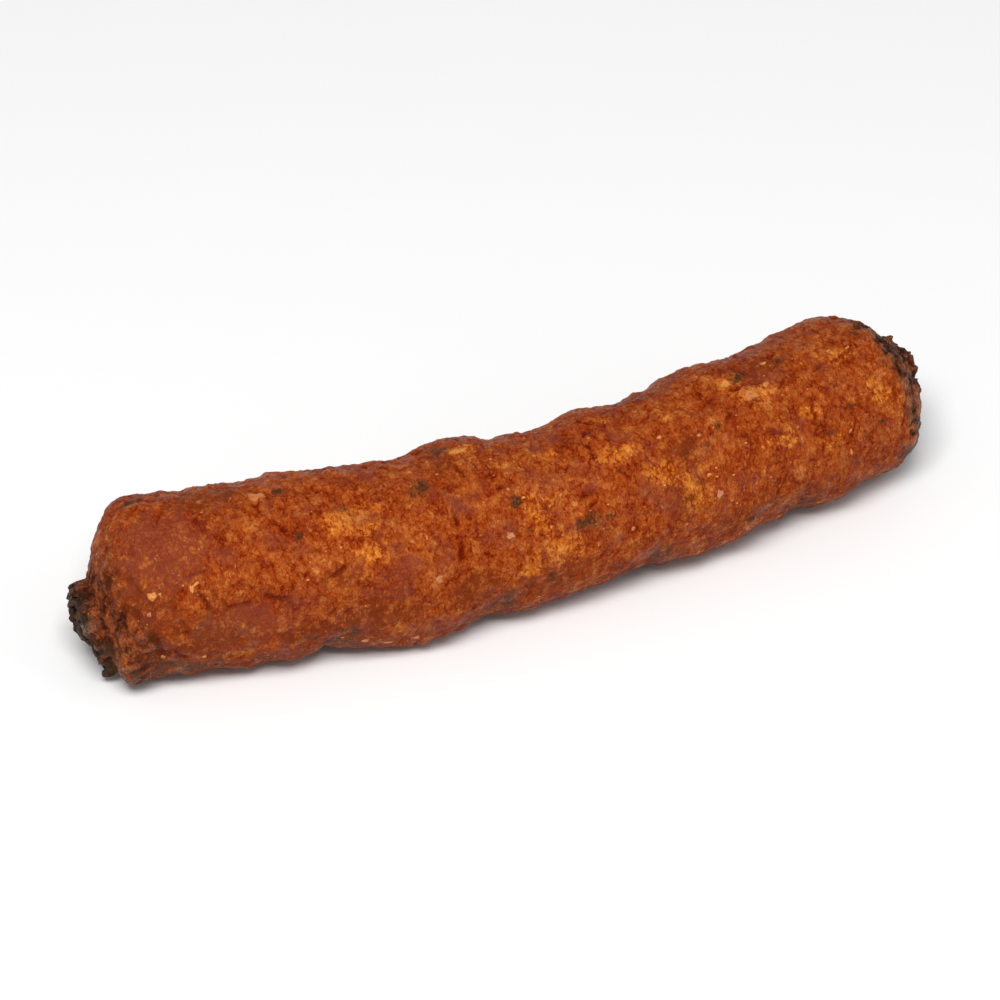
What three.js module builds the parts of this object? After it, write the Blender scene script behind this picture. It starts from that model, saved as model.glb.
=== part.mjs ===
// A deep-fried frikandel: a skinless sausage of minced meat, in one piece. It is bent a little
// sideways, its crust is lumpy, a cooking rack has pressed notches across its underside, and at
// each end the crust is torn open round a rough plug of meat.
//
// Millimetres, +Z up. The sausage lies along X with its outer bend towards -Y. It rests on the
// plane z = 0, with the origin in the middle of the rectangle that it covers.
//
// A place on the crust is given by two numbers. "along" is the distance from the middle, measured
// on the centreline, towards +X. "around" is the angle about the centreline in degrees: 0 is the
// outer side of the bend (-Y), 90 the top, 180 the inner side and -90 the underside.
import * as THREE from "three";

const { degToRad, radToDeg, smoothstep, smootherstep } = THREE.MathUtils;

// Driving dimensions.
const RADIUS = 16; // of the even sausage, before its lumps
const BEND_RADIUS = 285; // of the centreline, seen from above
const FLAT_DEPTH = 0.9; // how far the round underside has settled flat

// The two rounded ends. "reach" is from the middle to the tip, "dome" the depth of the rounding.
// The torn plug is a rough disc around a point that lies "front" and "up" from the centreline.
const LEFT_END = {
  side: -1,
  reach: 79.1,
  dome: 11.5,
  plug: { front: 4.55, up: -4.7, radius: 7.6, height: 3.1 },
};
const RIGHT_END = {
  side: 1,
  reach: 82.3,
  dome: 10.5,
  plug: { front: 1, up: 1.3, radius: 6.2, height: 2.6 },
};

// Swellings and hollows of the crust: along, around, half length, half width, rise.
const SWELLS = [
  [-71.5, 130, 3, 10, 0.7],
  [-52, 128, 11, 12, 0.7],
  [-42.5, 130, 3.5, 10, 0.8],
  [-34, 132, 4, 9, 0.6],
  [-25.5, 131, 2.5, 9, -0.4],
  [-19.5, 134, 4, 12, -0.5],
  [-14, 130, 3.5, 10, 0.5],
  [-9, 134, 6, 11, 1.3],
  [-1, 132, 2.2, 10, -0.75],
  [8, 130, 8, 16, -1.5],
  [18, 132, 5, 12, 0.8],
  [26, 132, 6, 13, -1.3],
  [34, 133, 2.5, 10, -0.4],
  [39.5, 134, 4, 10, 0.35],
  [54, 134, 7, 12, -0.3],
  [71, 128, 6, 12, -0.4],
  [-75.7, -57, 2.2, 4, -1.85],
  [-72.8, -30.5, 2.6, 6.5, 2.85],
  [-69.8, -51, 2.5, 8.9, 2.25],
  [-53, -48, 6, 9, 0.8],
  [-44, -48, 3.6, 8, 1.2],
  [-28, -49, 3.5, 9, 0.6],
  [-19.5, -44, 8.5, 12, 2.3],
  [5, -46, 4, 8, 0.3],
  [20, -46, 6, 9, -0.3],
  [36, -44, 6, 9, 0.5],
  [44, -44, 4, 8, -0.4],
  [54, -44, 2.5, 8, -0.5],
  [61, -46, 3.5, 8, 0.6],
  [76.3, -51, 2.4, 12.4, 1.3],
  [79.1, -26, 1.5, 11.9, 1],
];

// Notches that the bars of the rack have pressed into the underside.
const NOTCH = {
  count: 5,
  first: -68.5,
  pitch: 30.2,
  depth: 1.1,
  gentleFlank: 5, // on the side of the left end
  steepFlank: 1.5,
  middle: -62, // around
  fullUpTo: 30, // degrees to each side of its middle
  goneAt: 62,
};
// The low ridge beside each notch.
const LIP = { beyond: 5, halfLength: 4, rise: 0.25 };

// Unevenness, from coarse to fine: the size of a lump, and its rise or fall.
const CRUST_GRAIN = [
  { size: 13, rise: 0.3 },
  { size: 6, rise: 0.25 },
];
const PLUG_GRAIN = [
  { size: 4.2, rise: 0.85 },
  { size: 2.1, rise: 0.65 },
];
// The same for a plug's ragged outline, and half the width of the slope at its edge.
const PLUG_OUTLINE = [
  { size: 4, rise: 1.3 },
  { size: 1.6, rise: 0.5 },
];
const PLUG_EDGE = 0.5;

// Fineness of the surface.
const COLUMNS = 48;
const DOME_ROWS = 16;
const BARREL_STEP = 2.15;

const UP = new THREE.Vector3(0, 0, 1);

// A random number from -1 to 1 that belongs to one corner of a cubic lattice.
function cornerValue([x, y, z], seed) {
  let hash = Math.imul(x, 374761393) + Math.imul(y, 668265263);
  hash = (hash + Math.imul(z, 1440662683) + Math.imul(seed, 362437)) | 0;
  hash = Math.imul(hash ^ (hash >>> 13), 1274126177);
  hash ^= hash >>> 16;
  return (hash >>> 0) / 2 ** 31 - 1;
}

// Smooth random unevenness in space, from -1 to 1, with lumps of about the given size.
function unevenness(point, size, seed) {
  const scaled = point.toArray().map((value) => value / size);
  const cell = scaled.map(Math.floor);
  const blend = scaled.map((value, axis) => smootherstep(value - cell[axis], 0, 1));
  let sum = 0;
  for (let corner = 0; corner < 8; corner++) {
    const step = [corner & 1, (corner >> 1) & 1, corner >> 2];
    const share = step.map((on, axis) => (on ? blend[axis] : 1 - blend[axis]));
    const value = cornerValue(cell.map((low, axis) => low + step[axis]), seed);
    sum += value * share[0] * share[1] * share[2];
  }
  return sum;
}

// Several sizes of unevenness together. Each has a seed of its own, counted from the first.
function grain(point, octaves, firstSeed) {
  return octaves.reduce(
    (sum, { size, rise }, n) => sum + rise * unevenness(point, size, firstSeed + n),
    0,
  );
}

// The centreline at one place: its point, the way ahead and the way to the outer side of the bend.
function centreline(along) {
  const turn = along / BEND_RADIUS;
  const ahead = new THREE.Vector3(Math.cos(turn), Math.sin(turn), 0);
  const front = new THREE.Vector3(Math.sin(turn), -Math.cos(turn), 0);
  const point = new THREE.Vector3(0, BEND_RADIUS, 0).addScaledVector(front, BEND_RADIUS);
  return { point, ahead, front };
}

// A ring round the even sausage: its place, its radius and how far its normal leans ahead.
// "opening" is 0 at the tip of an end and a right angle where its dome meets the barrel.
function domeRing({ side, reach, dome }, opening) {
  return {
    along: side * (reach - dome * (1 - Math.cos(opening))),
    radius: RADIUS * Math.sin(opening),
    lean: side * Math.atan2(Math.cos(opening) / dome, Math.sin(opening) / RADIUS),
  };
}

function rings() {
  const opening = (row) => (row / DOME_ROWS) * (Math.PI / 2);
  const list = [];
  for (let row = 0; row <= DOME_ROWS; row++) {
    list.push(domeRing(LEFT_END, opening(row)));
  }
  const start = LEFT_END.dome - LEFT_END.reach;
  const length = RIGHT_END.reach - RIGHT_END.dome - start;
  const steps = Math.round(length / BARREL_STEP);
  for (let step = 1; step < steps; step++) {
    list.push({ along: start + (step / steps) * length, radius: RADIUS, lean: 0 });
  }
  for (let row = DOME_ROWS; row >= 0; row--) {
    list.push(domeRing(RIGHT_END, opening(row)));
  }
  return list;
}

// The radius of the even sausage at any place along it.
function radiusAt(along) {
  const end = along < 0 ? LEFT_END : RIGHT_END;
  const pastBarrel = Math.max(0, Math.abs(along) - end.reach + end.dome);
  return RADIUS * Math.sqrt(1 - (pastBarrel / end.dome) ** 2);
}

function swells(ring, angle) {
  return SWELLS.reduce((sum, [along, around, halfLength, halfWidth, rise]) => {
    const middle = degToRad(around);
    const radius = radiusAt(along);
    const across = Math.hypot(
      ring.radius * Math.cos(angle) - radius * Math.cos(middle),
      ring.radius * Math.sin(angle) - radius * Math.sin(middle),
    );
    const distance = Math.hypot((ring.along - along) / halfLength, across / halfWidth);
    return sum + rise * Math.exp(-(distance ** 2));
  }, 0);
}

function notches(ring, angle) {
  const offMiddle = Math.abs(radToDeg(angle) - NOTCH.middle);
  const gap = Math.min(offMiddle, 360 - offMiddle);
  const strength = 1 - smoothstep(gap, NOTCH.fullUpTo, NOTCH.goneAt);
  let relief = 0;
  for (let n = 0; n < NOTCH.count; n++) {
    const beyond = ring.along - (NOTCH.first + n * NOTCH.pitch);
    const flank = beyond < 0 ? -NOTCH.gentleFlank : NOTCH.steepFlank;
    relief -= NOTCH.depth * Math.exp(-beyond / flank);
    relief += LIP.rise * Math.exp(-(((beyond - LIP.beyond) / LIP.halfLength) ** 2));
  }
  return strength * relief;
}

// The rough plug that stands out of a torn end. "skin" is the point on the even sausage.
function tornPlug({ side, reach, dome, plug }, skin, seed) {
  const offCentre = Math.hypot(plug.front, plug.up) / RADIUS;
  const { point, front } = centreline(side * (reach - dome * (1 - Math.sqrt(1 - offCentre ** 2))));
  const middle = point.addScaledVector(front, plug.front).addScaledVector(UP, plug.up);
  const distance = skin.distanceTo(middle) + grain(skin, PLUG_OUTLINE, seed);
  const inside = 1 - smoothstep(distance, plug.radius - PLUG_EDGE, plug.radius + PLUG_EDGE);
  return inside * (plug.height + grain(skin, PLUG_GRAIN, seed + PLUG_OUTLINE.length));
}

// The point of the crust at one angle of a ring, with all its relief.
function crustPoint(ring, angle) {
  const { point, ahead, front } = centreline(ring.along);
  const outward = front.multiplyScalar(Math.cos(angle)).addScaledVector(UP, Math.sin(angle));
  const skin = point.addScaledVector(outward, ring.radius);
  const relief =
    swells(ring, angle) +
    notches(ring, angle) +
    grain(skin, CRUST_GRAIN, 1) +
    tornPlug(LEFT_END, skin, 11) +
    tornPlug(RIGHT_END, skin, 21);
  const crust = skin.clone();
  crust.addScaledVector(outward, relief * Math.cos(ring.lean));
  crust.addScaledVector(ahead, relief * Math.sin(ring.lean));
  crust.z = Math.max(crust.z, FLAT_DEPTH - RADIUS);
  return crust;
}

// Rings of points from tip to tip, joined by two triangles for each step and column.
function sausageGeometry() {
  const list = rings();
  const tips = [list.shift(), list.pop()];
  const points = list.flatMap((ring) =>
    Array.from({ length: COLUMNS }, (_, column) =>
      crustPoint(ring, (column / COLUMNS) * 2 * Math.PI - Math.PI),
    ),
  );
  const leftTip = points.length;
  const rightTip = leftTip + 1;
  points.push(...tips.map((ring) => crustPoint(ring, 0)));

  const triangles = [];
  const last = (list.length - 1) * COLUMNS;
  for (let column = 0; column < COLUMNS; column++) {
    const next = (column + 1) % COLUMNS;
    triangles.push(leftTip, column, next);
    triangles.push(rightTip, last + next, last + column);
    for (let low = 0; low < last; low += COLUMNS) {
      const high = low + COLUMNS;
      triangles.push(low + column, high + next, low + next);
      triangles.push(low + column, high + column, high + next);
    }
  }

  const geometry = new THREE.BufferGeometry().setFromPoints(points);
  geometry.setIndex(triangles);
  geometry.computeBoundingBox();
  const { min, max } = geometry.boundingBox;
  geometry.translate(-(min.x + max.x) / 2, -(min.y + max.y) / 2, -min.z);
  geometry.computeVertexNormals();
  return geometry;
}

function friedCrust() {
  return new THREE.MeshStandardMaterial({ color: 0x93471f, roughness: 0.55, metalness: 0 });
}

const sausage = new THREE.Mesh(sausageGeometry(), friedCrust());
sausage.name = "frikandel";

const frikandel = new THREE.Group();
frikandel.add(sausage);
export default frikandel;
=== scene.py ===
"""The looks of a deep-fried frikandel: its crust in full relief, the torn plugs and crumbs of its
two ends, and the pale chips of onion and fat in the crust.

The form is worked out in millimetres with the same named sizes as the solid. A place on the crust
is "along" (from the middle, towards +X) and "around" (degrees about the centreline: 0 is the outer
side of the bend, 90 the top, 180 the inner side, -90 the underside)."""

import math

import bmesh
import bpy
import numpy as np
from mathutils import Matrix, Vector


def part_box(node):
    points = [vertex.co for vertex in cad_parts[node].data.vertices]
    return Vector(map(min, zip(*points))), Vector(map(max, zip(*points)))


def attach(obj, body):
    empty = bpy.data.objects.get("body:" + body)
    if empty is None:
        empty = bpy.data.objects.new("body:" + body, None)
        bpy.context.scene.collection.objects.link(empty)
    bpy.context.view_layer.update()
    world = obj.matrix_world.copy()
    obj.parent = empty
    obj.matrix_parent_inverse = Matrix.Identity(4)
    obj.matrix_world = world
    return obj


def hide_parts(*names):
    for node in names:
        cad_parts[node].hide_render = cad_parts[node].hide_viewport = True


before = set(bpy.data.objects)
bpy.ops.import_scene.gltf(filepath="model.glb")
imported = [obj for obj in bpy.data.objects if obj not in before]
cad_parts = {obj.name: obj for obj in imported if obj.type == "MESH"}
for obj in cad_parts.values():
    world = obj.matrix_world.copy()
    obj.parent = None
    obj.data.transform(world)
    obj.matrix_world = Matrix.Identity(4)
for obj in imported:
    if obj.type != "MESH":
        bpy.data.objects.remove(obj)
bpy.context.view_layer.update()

MM = 0.001

# ---------------- the form, as in the solid

RADIUS = 16
BEND_RADIUS = 285
FLAT_DEPTH = 0.9

# side, reach of the tip, depth of the dome, then the torn plug: front, up, radius, height
LEFT_END = {"side": -1, "reach": 79.1, "dome": 11.5, "plug": (4.55, -4.7, 7.6, 3.1), "seed": 11}
RIGHT_END = {"side": 1, "reach": 82.3, "dome": 10.5, "plug": (1.0, 1.3, 6.2, 2.6), "seed": 21}
ENDS = (LEFT_END, RIGHT_END)

# Swellings and hollows: along, around, half length, half width, rise.
SWELLS = (
    (-71.5, 130, 3, 10, 0.7),
    (-52, 128, 11, 12, 0.7),
    (-42.5, 130, 3.5, 10, 0.8),
    (-34, 132, 4, 9, 0.6),
    (-25.5, 131, 2.5, 9, -0.4),
    (-19.5, 134, 4, 12, -0.5),
    (-14, 130, 3.5, 10, 0.5),
    (-9, 134, 6, 11, 1.3),
    (-1, 132, 2.2, 10, -0.75),
    (8, 130, 8, 16, -1.5),
    (18, 132, 5, 12, 0.8),
    (26, 132, 6, 13, -1.3),
    (34, 133, 2.5, 10, -0.4),
    (39.5, 134, 4, 10, 0.35),
    (54, 134, 7, 12, -0.3),
    (71, 128, 6, 12, -0.4),
    (-75.7, -57, 2.2, 4, -1.85),
    (-72.8, -30.5, 2.6, 6.5, 2.85),
    (-69.8, -51, 2.5, 8.9, 2.25),
    (-53, -48, 6, 9, 0.8),
    (-44, -48, 3.6, 8, 1.2),
    (-28, -49, 3.5, 9, 0.6),
    (-19.5, -44, 8.5, 12, 2.3),
    (5, -46, 4, 8, 0.3),
    (20, -46, 6, 9, -0.3),
    (36, -44, 6, 9, 0.5),
    (44, -44, 4, 8, -0.4),
    (54, -44, 2.5, 8, -0.5),
    (61, -46, 3.5, 8, 0.6),
    (76.3, -51, 2.4, 12.4, 1.3),
    (79.1, -26, 1.5, 11.9, 1),
)

NOTCH_PLACES = [-68.5 + 30.2 * n for n in range(5)]
NOTCH_DEPTH = 1.1
NOTCH_GENTLE = 5
NOTCH_STEEP = 1.5
NOTCH_MIDDLE = -62
NOTCH_FULL = 30
NOTCH_GONE = 62
LIP_BEYOND = 5
LIP_LENGTH = 4
LIP_RISE = 0.25

# Unevenness, from coarse to fine: size of a lump, and its rise or fall.
CRUST_SEED = 1
CRUST_GRAIN = ((13, 0.3), (6, 0.25))
PLUG_OUTLINE = ((4, 1.3), (1.6, 0.5))
PLUG_GRAIN = ((4.2, 0.85), (2.1, 0.65))
PLUG_EDGE = 0.5

# ---------------- finer relief of the crust

COLUMNS = 236
DOME_ROWS = 46
BARREL_STEP = 0.45

# Each pattern has a seed of its own, so that no two are alike.
FINE_SEED = 30
WARP_SEED = 40
PIT_SEED = 60
TORN_SEED = 88
CREASE_SEED = 200
CRUMB_SEEDS = (301, 302)
CHIP_SEED = 400

FINE_GRAIN = ((4.6, 0.26), (2.9, 0.18), (1.6, 0.13), (0.95, 0.08))
PLUG_FINE_GRAIN = ((1.3, 0.30), (0.8, 0.20))
# Angular blocks of the torn meat: their size, the spread of their heights, and a seed.
BLOCKS = ((2.7, 1.2, 81), (1.3, 0.55, 85))
SINGED_BLOCKS = 0.5  # the same on the singed crust beside a plug
ROUGH_TOP = 0.45  # no block stands out further than this
STREAKED = (1.5, 1.0, 1.0)  # grain is narrower along the sausage than round it
# The patterns are bent by a warp, some by a share of it, so that none looks regular.
WARP_SIZE = 2.6
WARP = 0.55
BLOCK_WARP = 0.7
GRANULE_WARP = 0.6
GRANULES = ((2.3, 0.17, 70), (1.25, 0.10, 74))  # spacing, rise, seed
GRANULE_STRETCH = (1.2, 1, 1)
GRANULE_FLANK = (0.1, 0.62)  # where it starts and ends, as a share of the spacing
GRANULE_MEAN = 0.4  # takes off what the granules would add to the thickness
CLEFT_FLANK = (0.45, 0.75)  # between blocks, as a share of their size
CLEFT_DEPTH = 0.4
PIT_SPACING = 3.4
PIT_SHARE = 0.3
PIT_DEPTH = 0.3
PIT_RADIUS = 0.5  # of the smallest pit
PIT_FLANK = (0.25, 0.75)  # where a pit is full and where it ends, in its radii

# Creases that the photo shows: from along, around to along, around, then the depth.
CREASES = (
    (-59.5, 84, -57.2, 71, 0.45),
    (-57.3, 72, -54.3, 61, 0.40),
    (-48.2, 88, -46.4, 77, 0.40),
    (-46.4, 77, -43.2, 62, 0.45),
    (-60.2, 32, -58.4, 19, 0.45),
    (-57, 18, -50, 22, 0.25),
    (-50, 24, -44.3, 20, 0.55),
    (-45.2, 20, -44.2, 10, 0.35),
    (-37.6, 30, -33.6, 36, 0.60),
    (-63, 43, -57.5, 46, 0.35),
    (-14.3, 60, -13.9, 44, 0.40),
    (-14, 44, -14.8, 20, 0.45),
    (-10.8, 88, -9.9, 77, 0.55),
    (-24, 20, -23.5, 4, 0.30),
    (14.6, 93, 13.6, 84, 0.50),
    (13.8, 84, 13.4, 64, 0.40),
    (8.4, 45, 12.5, 47, 0.40),
    (27, 56, 31, 49, 0.30),
    (50.2, 37, 45.5, 46, 0.35),
    (-37, 100, -36.4, 91, 0.40),
    (-12.5, 36, -6, 34, 0.25),
    (54.6, 97, 57.2, 100, 0.40),
    (43, 82, 51, 81, 0.40),
    (59, 72, 70, 73, 0.30),
    (-73, 50, -70, 30, 0.40),
    (-66, -10, -63, -24, 0.40),
    (35, 74, 38, 80, 0.25),
    (-30, 62, -28.5, 50, 0.25),
)
CREASES_DEEPER = 1.25
CREASE_WIDTH = 0.36
CREASE_FADES = 0.45  # from this share of its half length on
CREASE_MARGIN = 2.5  # a crease reaches no further than this past its ends, warp and all
NEAR_TIP = 3  # the crust counts as no narrower than this radius

MORE_CREASES = 420
MORE_CREASES_ALONG = (-77, 79)
MORE_CREASES_HALF = (0.8, 3.6)
MORE_CREASES_DEPTH = (0.07, 0.34)
# How much they lean from straight round the sausage, in degrees: it grows to the left, is steady
# on the right, and varies.
LEAN_LEFT = 12
LEAN_LENGTH = 40
LEAN_RIGHT = 6
LEAN_SPREAD = 38

# Ragged edges of what covers the crust: how far they wander, over what size, and a seed.
SINGE_RAGGED = ((2.2, 4, 95), (1.2, 1.6, 96))
BURNT_AND_SHADED_RAGGED = ((0.3, 2.2, 98),)
TORN_RAGGED = ((1.2, 3, 99),)
NOTCH_RAGGED = ((10, 2.5, 94),)
BELLY_RAGGED = ((14, 5, 97),)
PATCH_RAGGED = ((1, 1.7, 90), (1, 0.8, 91))


def smooth(low, high, value):
    t = np.clip((value - low) / (high - low), 0, 1)
    return t * t * (3 - 2 * t)


def corner_value(x, y, z, seed):
    h = (x * 374761393 + y * 668265263 + z * 1440662683 + seed * 362437) & 0xFFFFFFFF
    h = ((h ^ (h >> 13)) * 1274126177) & 0xFFFFFFFF
    return ((h ^ (h >> 16)) & 0xFFFFFFFF) / 2**31 - 1


def unevenness(points, size, seed):
    """Smooth random unevenness in space, from -1 to 1, with lumps of about the given size."""
    scaled = points / size
    cell = np.floor(scaled)
    f = scaled - cell
    blend = f * f * f * (f * (f * 6 - 15) + 10)
    cell = cell.astype(np.int64)
    total = 0
    for corner in range(8):
        step = (corner & 1, (corner >> 1) & 1, corner >> 2)
        share = 1
        for axis in range(3):
            b = blend[..., axis]
            share = share * (b if step[axis] else 1 - b)
        total = total + share * corner_value(*(cell[..., a] + step[a] for a in range(3)), seed)
    return total


def grain(points, octaves, seed):
    return sum(rise * unevenness(points, size, seed + n) for n, (size, rise) in enumerate(octaves))


def ragged(points, terms):
    """How far an edge wanders at each point."""
    return sum(reach * unevenness(points, size, seed) for reach, size, seed in terms)


def cells(points, size, seed):
    """Distance to the nearest of one random point in each cell, and that point's random value."""
    base = np.floor(points / size).astype(np.int64)
    nearest = np.full(points.shape[:-1], np.inf)
    value = np.zeros(points.shape[:-1])
    for dx in (-1, 0, 1):
        for dy in (-1, 0, 1):
            for dz in (-1, 0, 1):
                cell = (base[..., 0] + dx, base[..., 1] + dy, base[..., 2] + dz)
                away = 0
                for axis in range(3):
                    spot = (cell[axis] + 0.5 + 0.5 * corner_value(*cell, seed + axis)) * size
                    away = away + (points[..., axis] - spot) ** 2
                closer = away < nearest
                nearest = np.where(closer, away, nearest)
                value = np.where(closer, corner_value(*cell, seed + 3), value)
    return np.sqrt(nearest), value * 0.5 + 0.5


def centreline(along):
    turn = along / BEND_RADIUS
    zero = np.zeros_like(turn)
    ahead = np.stack([np.cos(turn), np.sin(turn), zero], -1)
    front = np.stack([np.sin(turn), -np.cos(turn), zero], -1)
    return np.array([0, BEND_RADIUS, 0]) + BEND_RADIUS * front, ahead, front


def ring(along):
    """Radius of the even sausage at a place, and how far its normal leans ahead."""
    radius = np.full_like(along, RADIUS)
    lean = np.zeros_like(along)
    for end in ENDS:
        cosine = np.clip(1 - (end["reach"] - end["side"] * along) / end["dome"], 0, 1)
        sine = np.sqrt(1 - cosine**2)
        here = cosine > 0
        radius = np.where(here, RADIUS * sine, radius)
        tilt = end["side"] * np.arctan2(cosine / end["dome"], sine / RADIUS)
        lean = np.where(here, tilt, lean)
    return radius, lean


def swells(along, radius, angle):
    total = np.zeros_like(along)
    for place, around, half_length, half_width, rise in SWELLS:
        middle = math.radians(around)
        r = float(ring(np.array(float(place)))[0])
        across = np.hypot(
            radius * np.cos(angle) - r * math.cos(middle),
            radius * np.sin(angle) - r * math.sin(middle),
        )
        distance = np.hypot((along - place) / half_length, across / half_width)
        total += rise * np.exp(-(distance**2))
    return total


def off_around(angle, around):
    """Degrees between an angle in radians and a place round the sausage, from -180 to 180."""
    return (np.degrees(angle) - around + 180) % 360 - 180


def notch_strength(angle):
    return 1 - smooth(NOTCH_FULL, NOTCH_GONE, np.abs(off_around(angle, NOTCH_MIDDLE)))


def notches(along, angle):
    relief = np.zeros_like(along)
    for place in NOTCH_PLACES:
        beyond = along - place
        flank = np.where(beyond < 0, -NOTCH_GENTLE, NOTCH_STEEP)
        relief -= NOTCH_DEPTH * np.exp(-beyond / flank)
        relief += LIP_RISE * np.exp(-(((beyond - LIP_BEYOND) / LIP_LENGTH) ** 2))
    return notch_strength(angle) * relief


def plug_cover(end, skin):
    """1 on the torn plug of an end, 0 on the crust."""
    front, up, radius, _ = end["plug"]
    drop = end["dome"] * (1 - math.sqrt(1 - (math.hypot(front, up) / RADIUS) ** 2))
    point, _, to_front = centreline(np.array(end["side"] * (end["reach"] - drop)))
    middle = point + front * to_front + np.array([0, 0, up])
    distance = np.linalg.norm(skin - middle, axis=-1) + grain(skin, PLUG_OUTLINE, end["seed"])
    return 1 - smooth(radius - PLUG_EDGE, radius + PLUG_EDGE, distance)


def scattered_creases():
    """Small creases all over, mostly round the sausage."""
    rng = np.random.default_rng(CREASE_SEED)
    for _ in range(MORE_CREASES):
        along, around = rng.uniform(*MORE_CREASES_ALONG), rng.uniform(-180, 180)
        usual_lean = LEAN_LEFT * math.sin(-along / LEAN_LENGTH) if along < 0 else LEAN_RIGHT
        lean = math.radians(rng.normal(usual_lean, LEAN_SPREAD))
        half = rng.uniform(*MORE_CREASES_HALF)
        step = half * math.sin(lean)
        turn = math.degrees(half * math.cos(lean) / RADIUS)
        depth = rng.uniform(*MORE_CREASES_DEPTH)
        yield along - step, around + turn, along + step, around - turn, depth


ALL_CREASES = [(*row[:4], CREASES_DEEPER * row[4]) for row in CREASES] + list(scattered_creases())


def crease_cover(along, radius, angle, warp):
    """How deep the creases are at arrays of places."""
    total = np.zeros(along.size)
    place = along.ravel() + warp[..., 0].ravel()
    degrees = np.degrees(angle).ravel()
    sideways = warp[..., 1].ravel()
    round_scale = (np.radians(1) * np.maximum(radius, NEAR_TIP)).ravel()
    for along_1, around_1, along_2, around_2, depth in ALL_CREASES:
        middle = (along_1 + along_2) / 2
        arc = math.radians(around_2 - around_1) * RADIUS
        length = math.hypot(along_2 - along_1, arc)
        reach = length / 2 + CREASE_MARGIN
        near = np.flatnonzero(np.abs(place - middle) < reach)
        off = (degrees[near] - (around_1 + around_2) / 2 + 180) % 360 - 180
        close = np.abs(off) < math.degrees(reach / NEAR_TIP)
        near, off = near[close], off[close]
        x = place[near] - middle
        y = off * round_scale[near] + sideways[near]
        ahead = (x * (along_2 - along_1) + y * arc) / length
        across = (y * (along_2 - along_1) - x * arc) / length
        fade = 1 - smooth(CREASE_FADES, 1, np.abs(ahead) / (length / 2))
        groove = fade * depth * np.exp(-((across / CREASE_WIDTH) ** 2))
        total[near] = np.maximum(total[near], groove)
    return total.reshape(along.shape)


# From a plug outwards: where the singed crust starts to fade, and where it ends.
SINGE_FADES = ((2.5, 10), (7, 9.5))
# How far back from its tip the right end is torn, the swing of that, and where it is furthest.
TORN_REACH = 5.6
TORN_SWING = 2.6
TORN_FURTHEST = 15
TORN_EDGE = 0.6
# The torn ends are red-brown on the side that faces this way, and dark grey on the other side:
# partly char, and partly painted shade, darkest where they turn furthest from this way. Each
# pair is for the left end and the right.
LESS_BURNT_AND_SHADED = np.array([[-0.293, -0.708, 0.643], [0.3, -0.9, -0.3]])
BURNT_AND_SHADED_AMOUNT = (1.0, 0.4)
BURNT_AND_SHADED_FACING = (0.22, 0.60)


def singe(crust):
    """How much the crust is darkened by nearness to a torn plug."""
    wobble = ragged(crust.straight, SINGE_RAGGED)
    dark = np.zeros_like(crust.along)
    for end, (start, stop) in zip(ENDS, SINGE_FADES):
        front, up, radius, _ = end["plug"]
        y, z = crust.straight[..., 1] - front, crust.straight[..., 2] - up
        back = end["reach"] - end["side"] * crust.along
        beside = np.maximum(0, np.hypot(y, z) - radius)
        behind = np.maximum(0, back - end["dome"] / 2)
        dark = np.maximum(dark, 1 - smooth(start, stop, np.hypot(beside, behind) + wobble))
    return dark


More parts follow.
